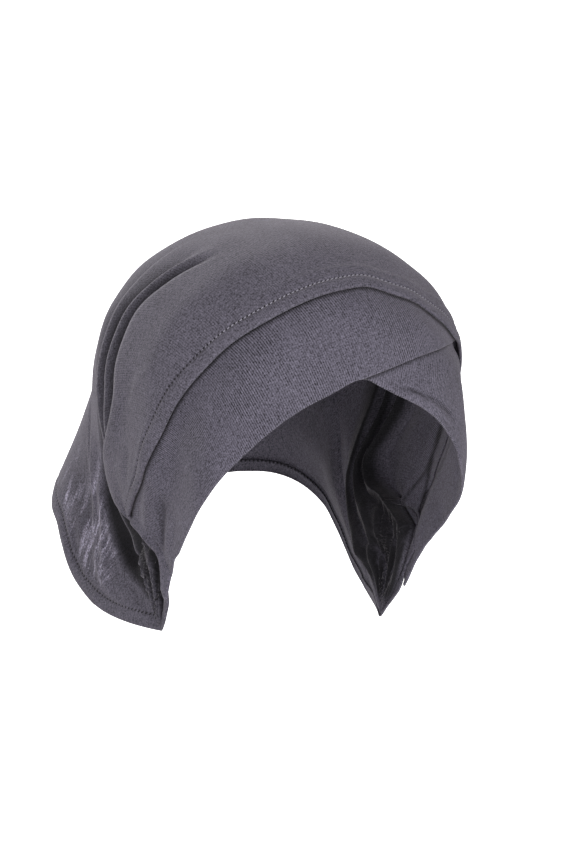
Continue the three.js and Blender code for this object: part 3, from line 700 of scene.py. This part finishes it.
def jersey(name, colour, wale_turn, wale_depth, stitched=False):
    """Single jersey of heathered yarn, its wales turned by some degrees to the piece."""
    material = bpy.data.materials.new(name)
    material.use_nodes = True
    tree = material.node_tree
    shader = tree.nodes["Principled BSDF"]
    finish = Finish(tree)
    flat = finish.node("ShaderNodeUVMap", {"uv_map": "cloth"}, {})
    solid = finish.node("ShaderNodeTexCoord", {}, {}, "Object")
    turn = math.radians(wale_turn)

    def stripes(direction, pitch):
        across = finish.node("ShaderNodeVectorMath", {"operation": "DOT_PRODUCT"},
                             {0: flat, 1: (math.cos(direction), math.sin(direction), 0)}, "Value")
        return finish.math("SINE", across * (2 * math.pi / pitch))

    wales = stripes(turn, WALE)
    courses = stripes(turn + math.pi / 2, COURSE)
    shown = grain(finish, flat, PLAIN_PATCH_SIZE, detail=1.0).rising(*PLAIN_PATCHES)
    shown = PLAIN_KNIT + (1 - PLAIN_KNIT) * shown
    knit = wales * (1 - COURSE_SHARE) + wales * courses * COURSE_SHARE
    knit = knit * shown * wale_depth
    fibres = grain(finish, solid, FIBRE_SIZE)
    flecks = grain(finish, flat, FLECK_SIZE, FLECK_STRETCH, detail=1.0)
    mottle = grain(finish, solid, MOTTLE_SIZE)
    tone = 1 + fibres * FIBRE_TONE + flecks * FLECK_TONE + mottle * MOTTLE_TONE
    tone = tone + knit * KNIT_TONE
    # The hollow attribute's painted shade darkens the colour, and its painted highlights lighten it.
    hollow = finish.node("ShaderNodeAttribute", {"attribute_name": "hollow"}, {}, "Fac")
    tone = tone * (1 - hollow * HOLLOW_DARK)
    height = knit * KNIT_HEIGHT + fibres * FIBRE_HEIGHT + flecks * FLECK_HEIGHT
    if stitched:
        row = finish.node("ShaderNodeUVMap", {"uv_map": "hem_row"}, {})
        inward = row.axis("Y")
        place = finish.math("PINGPONG", row.axis("X"), STITCH_PITCH / 2)
        hole = finish.math("SQRT", place * place + (inward - HEM_WIDTH) * (inward - HEM_WIDTH))
        hole = 1 - hole.rising(*HOLE_EDGE)
        # Painted shade in each needle hole.
        tone = tone * (1 - hole * HOLE_SHADE)
        height = height + hole * HOLE_HEIGHT
        side = finish.math("ABSOLUTE", solid.axis("X"))
        down = 0 - solid.axis("Z")
        # Painted sheen in bright patches on the sides of the tail, lost where shade is painted.
        painted_sheen = grain(finish, flat, PAINTED_SHEEN_SIZE, PAINTED_SHEEN_STRETCH, PAINTED_SHEEN_DETAIL).rising(*PAINTED_SHEEN_PATCHES)
        painted_sheen = painted_sheen * solid.axis("Y").rising(*PAINTED_SHEEN_BACK) * side.rising(*PAINTED_SHEEN_SIDE)
        painted_sheen = painted_sheen * down.rising(*PAINTED_SHEEN_DOWN) * inward.rising(*PAINTED_SHEEN_INWARD)
        painted_sheen = painted_sheen * (1 - hollow.rising(*PAINTED_SHEEN_SHADED))
        tone = tone * (1 + painted_sheen * PAINTED_SHEEN_LIGHT + painted_sheen * fibres * PAINTED_SHEEN_FIBRES)
    light = finish.node("ShaderNodeVectorMath", {"operation": "SCALE"},
                        {0: colour, "Scale": tone})
    tree.links.new(light.socket, shader.inputs["Base Color"])
    normal = finish.node("ShaderNodeBump", {}, {
        "Strength": SURFACE_STRENGTH, "Distance": SURFACE_HEIGHT, "Height": height,
    })
    tree.links.new(normal.socket, shader.inputs["Normal"])
    rough = ROUGHNESS - mottle * MOTTLE_POLISH
    tree.links.new(rough.socket, shader.inputs["Roughness"])
    for socket, value in SHEEN.items():
        shader.inputs[socket].default_value = value
    return material


def stitch_row(name, angle, share, level, material):
    """Short stitches laid end to end along a line on the crown, as one mesh."""
    places = lifted(angle, share, level)
    outward = lifted(angle, share, level + 0.001) - places
    length = lengths_along(places, 0)
    middles = np.arange(0.5, length[-1] / STITCH_PITCH) * STITCH_PITCH
    at, out = (
        np.stack([np.interp(middles, length, column) for column in values.T], -1)
        for values in (places, outward)
    )
    bpy.ops.mesh.primitive_uv_sphere_add(segments=6, ring_count=5, radius=1)
    stitch = bpy.context.object
    stitch.scale = STITCH_SIZE
    bpy.ops.object.transform_apply(scale=True)
    bpy.ops.object.shade_smooth()
    slant = Matrix.Rotation(math.radians(STITCH_SLANT), 4, "Z")
    pieces = []
    for place, forward, up in zip(at, np.gradient(at, axis=0), out):
        across = Vector(np.cross(up, forward)).normalized()
        forward = Vector(forward).normalized()
        frame_axes = Matrix((forward, across, forward.cross(across))).transposed().to_4x4()
        copy = bpy.data.objects.new(name, stitch.data.copy())
        copy.data.transform(Matrix.Translation(place) @ frame_axes @ slant)
        bpy.context.collection.objects.link(copy)
        pieces.append(copy)
    bpy.data.objects.remove(stitch)
    bpy.ops.object.select_all(action="DESELECT")
    for piece in pieces:
        piece.select_set(True)
    bpy.context.view_layer.objects.active = pieces[0]
    bpy.ops.object.join()
    row = bpy.context.object
    row.name = row.data.name = name
    row.data.materials.append(material)
    bpy.ops.object.select_all(action="DESELECT")
    return row


STITCH_SIZE = (0.00085, 0.00030, 0.00024)
STITCH_SLANT = 12            # degrees
STITCH_SINK = 0.0005         # how deep the stitches lie at the sides
STITCH_SINK_FADE = (0.39, -0.10)
FRONT_STITCHES_PROUD = 0.00022
STITCH_ROW_STEPS = 400
THREAD_GREY = (0.24, 0.225, 0.27, 1)
THREAD_ROUGHNESS = 0.6
FRONT_ROW_SHARES = (0.148, 0.852)
TAIL_ROW_SHARES = (0.035, 0.965)

CROWN_GREY = (0.083, 0.076, 0.098)
CROWN_WALES = 8              # degrees by which the wales are turned
CROWN_KNIT = 0.5             # how deep the knit shows

crown_angle, crown_share, crown_outer = crown_grid()
crown, (column_of, row_of) = cloth(
    "crown_cloth", crown_angle, crown_share, crown_outer - JERSEY / 2,
    crown_shade_and_highlight(crown_share[0], crown_angle, crown_outer),
)
edge_angles, _ = crown_lines(crown_share[0])
hem_rows = []
for edge, direction in ((edge_angles[0], 1), (edge_angles[-1], -1)):
    stitches = on_form(edge + direction * degrees(HEM_WIDTH, edge, crown_share[0]), crown_share[0])
    along = np.broadcast_to(lengths_along(stitches, 0), crown_angle.shape)
    inward = np.radians(direction * (crown_angle - edge)) * reach(edge, crown_share[0])
    hem_rows.append(np.stack([along, inward], -1))
nearer = hem_rows[0][..., 1:] < hem_rows[1][..., 1:]
set_uv(crown, "hem_row", np.where(nearer, hem_rows[0], hem_rows[1])[column_of, row_of])
for name, stitched in (("crown_jersey", True), ("crown_jersey_inside", False)):
    crown.data.materials.append(jersey(name, CROWN_GREY, CROWN_WALES, CROWN_KNIT, stitched))
thicken(crown, JERSEY)

thread = bpy.data.materials.new("thread")
thread.use_nodes = True
thread_inputs = thread.node_tree.nodes["Principled BSDF"].inputs
thread_inputs["Base Color"].default_value = THREAD_GREY
thread_inputs["Roughness"].default_value = THREAD_ROUGHNESS
stitches = []
for name, edge_line, direction, (start, end), proud in (
    ("front_stitches", 0, 1, FRONT_ROW_SHARES, FRONT_STITCHES_PROUD),
    ("tail_stitches", -1, -1, TAIL_ROW_SHARES, 0.0),
):
    share = np.linspace(start, end, STITCH_ROW_STEPS)
    edge = crown_lines(share)[0][edge_line]
    angle = edge + direction * degrees(HEM_WIDTH, edge, share)
    sunk = proud - STITCH_SINK * fade(half(share), *STITCH_SINK_FADE)
    row = stitch_row(name, angle, share, crown_level(share, angle[None])[0] + sunk, thread)
    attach(row, "root")
    stitches.append(row)
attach(crown, "root")
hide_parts("crown", "front_hem", "back_hem")


# Bands. Two lengths of the same jersey, each doubled into a flat tube. They rise from the
# neck points, cross over the brow with the right one on top, and end beneath the crown.
BAND_START = 0.060
CROSSING_START = 0.49
LEFT_EDGE_SPAN = 0.02        # share over which the left band comes out to the face edge
BAND_END = 0.73
BAND_TUCK = 0.008
BAND_TUCK_START = 0.107
BAND_TUCK_SPAN = 0.03        # share over which a band slides beneath the crown
BAND_EDGE_RISE = 0.0013
BAND_DIP = -0.0011
BAND_DIP_WIDTH = 0.014
UNDER_BAND_DROP = 0.0016
COVER_START = 0.003          # from the crossing edge to where the left band starts to rise
COVER_BLEND = 0.009
COVER_END_SPAN = 0.05
LEAST_BAND = 0.003           # width of a band at its narrowest
SEAM_SHADE_WIDTH = 0.0013
CROSSING_SHADE_WIDTH = 0.0012
CREASE_SHADE = 500           # light shut out for each metre of a crease's depth
# the most painted highlight on a crease's ridge
CREASE_HIGHLIGHT = 0.1
BAND_COLUMNS = 38
BAND_ROWS = 230
OUTER_SPAN = (0.015, 0.985)  # the outer columns stop short of the turned edges
INNER_COLUMNS = 9
INNER_SHORTER = 0.96         # the hidden edge from above stops short of the one from below
# The lower edge of a band past the middle of the brow.
CROSSING = table("share angle", [
    [0.490, 51.1], [0.525, 52.4], [0.569, 54.8], [0.611, 58.0], [0.661, 64.4], [0.681, 68.2],
    [0.700, 72.0], [0.730, 75.5],
])
# Creases in the bands, from one place to another, with half their width and their level.
BAND_CREASES = table("angle share to_angle to_share width level", [
    [66.0, 0.165, 63.0, 0.100, 0.0022, -0.0010],
    [61.0, 0.160, 57.0, 0.095, 0.0030, 0.0006],
    [50.2, 0.528, 49.6, 0.650, 0.0009, -0.0014],
    [49.2, 0.545, 48.2, 0.640, 0.0010, 0.0005],
])


def band_lower(share):
    return np.where(share < CROSSING_START, read(FACE_EDGE, "angle", share),
                    read(CROSSING, "angle", np.clip(share, CROSSING_START, BAND_END)))


def band_grid(share, lower, cover):
    """A doubled band as rows of angle and level, round from one hidden edge to the other."""
    seam = read(SEAM, "angle", share)
    tuck = BAND_TUCK * fade(half(share), BAND_TUCK_START, BAND_TUCK_SPAN)
    top = np.maximum(seam + degrees(tuck, seam, share), lower + degrees(LEAST_BAND, lower, share))
    rise = mix(BAND_EDGE_RISE, BAND_DIP, crown_over(share))

    def level_at(angle):
        width = np.radians(seam - angle) * reach(seam, share)
        level = rise * (1 - ease(width / BAND_DIP_WIDTH)) - UNDER_BAND_DROP * cover(angle)
        shares = np.broadcast_to(share, angle.shape)
        return level + creased(BAND_CREASES, angle, shares) + sway(angle, shares)

    half_width = np.radians(top - lower) * reach(lower, share) / 2
    below = turned_under(lower, share, level_at, 1, half_width, INNER_COLUMNS)
    above = turned_under(top, share, level_at, -1, half_width * INNER_SHORTER, INNER_COLUMNS)
    outer = mix(lower, top, np.linspace(*OUTER_SPAN, BAND_COLUMNS)[:, None])
    angle = np.concatenate([below[0], outer, above[0][::-1]])
    level = np.concatenate([below[1], level_at(outer), above[1][::-1]])
    return angle, np.broadcast_to(share, angle.shape), level


def left_cover(share):
    """How far the left band lies beneath the right one: wholly, and then up beside it."""
    crossing = read(CROSSING, "angle", np.clip(share, CROSSING_START, BAND_END))
    edge = np.where(share < CROSSING_START, 0, crossing)

    def cover(angle):
        width = np.radians(edge - angle) * reach(crossing, share)
        beside = fade(width, COVER_START, COVER_BLEND)
        return np.minimum(1 - beside, 1 - fade(share, BAND_END, COVER_END_SPAN))

    return cover


BAND_GREY = (0.083, 0.076, 0.100)
BAND_WALES = 16
BAND_KNIT = 1.5
band_share = np.linspace(BAND_START, BAND_END, BAND_ROWS)
right_grid = band_grid(band_share, band_lower(band_share), lambda angle: 0)
left_share = 1 - band_share[::-1]
left_face = read(FACE_EDGE, "angle", left_share)
left_lower = mix(left_face, np.maximum(left_face, band_lower(1 - left_share)),
                 fade(left_share, CROSSING_START, -LEFT_EDGE_SPAN))
left_grid = band_grid(left_share, left_lower, left_cover(left_share))
for name, node, under, wale_turn, (angle, share, level) in (
    ("right_band_cloth", "right_band", "left_band_cloth", BAND_WALES, right_grid),
    ("left_band_cloth", "left_band", "right_band_cloth", -BAND_WALES, left_grid),
):
    seam = read(SEAM, "angle", share)
    # Painted shade on the bands: a dark line beneath the crown's edge along the seam, another along
    # the crossing edge on the left band, and darker crease grooves, with painted highlights on
    # crease ridges.
    below_seam = np.radians(seam - angle) * reach(seam, share)
    shut_out = bump(below_seam / SEAM_SHADE_WIDTH) * crown_over(share)
    if node == "left_band":
        crossing = read(CROSSING, "angle", np.clip(share, CROSSING_START, BAND_END))
        below_crossing = np.radians(crossing - angle) * reach(crossing, share)
        crossed = share > CROSSING_START
        shut_out = shut_out + bump(below_crossing / CROSSING_SHADE_WIDTH) * crossed
    shut_out = shut_out - creased(BAND_CREASES, angle, share) * CREASE_SHADE
    shut_out = np.clip(shut_out, -CREASE_HIGHLIGHT, 1)
    band, _ = cloth(name, angle, share, level - JERSEY / 2, shut_out)
    band.data.materials.append(jersey(node + "_jersey", BAND_GREY, wale_turn, BAND_KNIT))
    thicken(band, JERSEY)
    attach(band, "root")
    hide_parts(node)


# Studio. The wrap hangs in its worn form over a pale floor, in soft light from all round,
# and the camera stands at the wearer's right and slightly above.
VIEW_AZIMUTH = math.radians(-27)
VIEW_ELEVATION = math.radians(4)
VIEW_DISTANCE = 1.5
METRES_PER_PIXEL = 0.000469
FRAME_HEIGHT = 864
SENSOR_SIZE = 36             # millimetres
LOOKED_AT = Vector((0, 0, -0.098))
RIGHT_OF_CENTRE = 13         # pixels from the looked-at point to the picture's middle
BELOW_CENTRE = 2.5

camera_data = bpy.data.cameras.new("camera")
camera = bpy.data.objects.new("camera", camera_data)
bpy.context.collection.objects.link(camera)
bpy.context.scene.camera = camera
toward_camera = Vector((
    math.sin(VIEW_AZIMUTH) * math.cos(VIEW_ELEVATION),
    -math.cos(VIEW_AZIMUTH) * math.cos(VIEW_ELEVATION),
    math.sin(VIEW_ELEVATION),
))
camera.location = LOOKED_AT + toward_camera * VIEW_DISTANCE
camera.rotation_euler = toward_camera.to_track_quat("Z", "Y").to_euler()
camera_data.sensor_width = SENSOR_SIZE
camera_data.lens = SENSOR_SIZE * VIEW_DISTANCE / (METRES_PER_PIXEL * FRAME_HEIGHT)
camera_data.shift_x = RIGHT_OF_CENTRE / FRAME_HEIGHT
camera_data.shift_y = -BELOW_CENTRE / FRAME_HEIGHT
camera_data.clip_end = 100

FLOOR_HEIGHT = -0.9
FLOOR_SIZE = (40, 40)
BACKDROP_SIZE = (0.85, 1.4)
BACKDROP_DISTANCE = 2.2      # behind the wrap, as the camera sees it
BACKDROP_GLOW = 1.3
SKY_STRENGTH = 0.25
PALE_PAINT = {
    "Base Color": (0.8, 0.8, 0.8, 1),
    "Roughness": 0.9,
    "Specular IOR Level": 0.1,
    "Emission Color": (1, 1, 1, 1),
}
backdrop_place = LOOKED_AT - toward_camera * BACKDROP_DISTANCE
for name, size, place, turn, glow in (
    ("floor", FLOOR_SIZE, (0, 0, FLOOR_HEIGHT), (0, 0, 0), 0.0),
    ("backdrop", BACKDROP_SIZE, backdrop_place, camera.rotation_euler, BACKDROP_GLOW),
):
    bpy.ops.mesh.primitive_plane_add(size=1, location=place, rotation=turn)
    sheet = bpy.context.object
    sheet.name = name
    sheet.scale = (*size, 1)
    paint = bpy.data.materials.new(name + "_paint")
    paint.use_nodes = True
    painted = paint.node_tree.nodes["Principled BSDF"].inputs
    for socket, value in PALE_PAINT.items():
        painted[socket].default_value = value
    painted["Emission Strength"].default_value = glow
    sheet.data.materials.append(paint)


def soft_light(name, place, size, power):
    """A large square lamp that faces the wrap."""
    lamp_data = bpy.data.lights.new(name, "AREA")
    lamp_data.size = size
    lamp_data.energy = power
    lamp = bpy.data.objects.new(name, lamp_data)
    bpy.context.collection.objects.link(lamp)
    lamp.location = place
    lamp.rotation_euler = (Vector(place) - LOOKED_AT).to_track_quat("Z", "Y").to_euler()


soft_light("front_lamp", (0.35, -1.7, 0.00), 1.3, 28)
soft_light("side_lamp", (-1.4, -1.0, 0.00), 1.3, 18)
soft_light("rim_lamp", (-0.9, 1.4, 0.6), 0.7, 12)
soft_light("top_lamp", (0.1, 1.5, 1.4), 1.2, 24)

world = bpy.data.worlds.new("studio")
bpy.context.scene.world = world
world.use_nodes = True
sky = world.node_tree.nodes["Background"].inputs
sky["Color"].default_value = (1, 1, 1, 1)
sky["Strength"].default_value = SKY_STRENGTH
bpy.context.scene.view_settings.view_transform = "Standard"
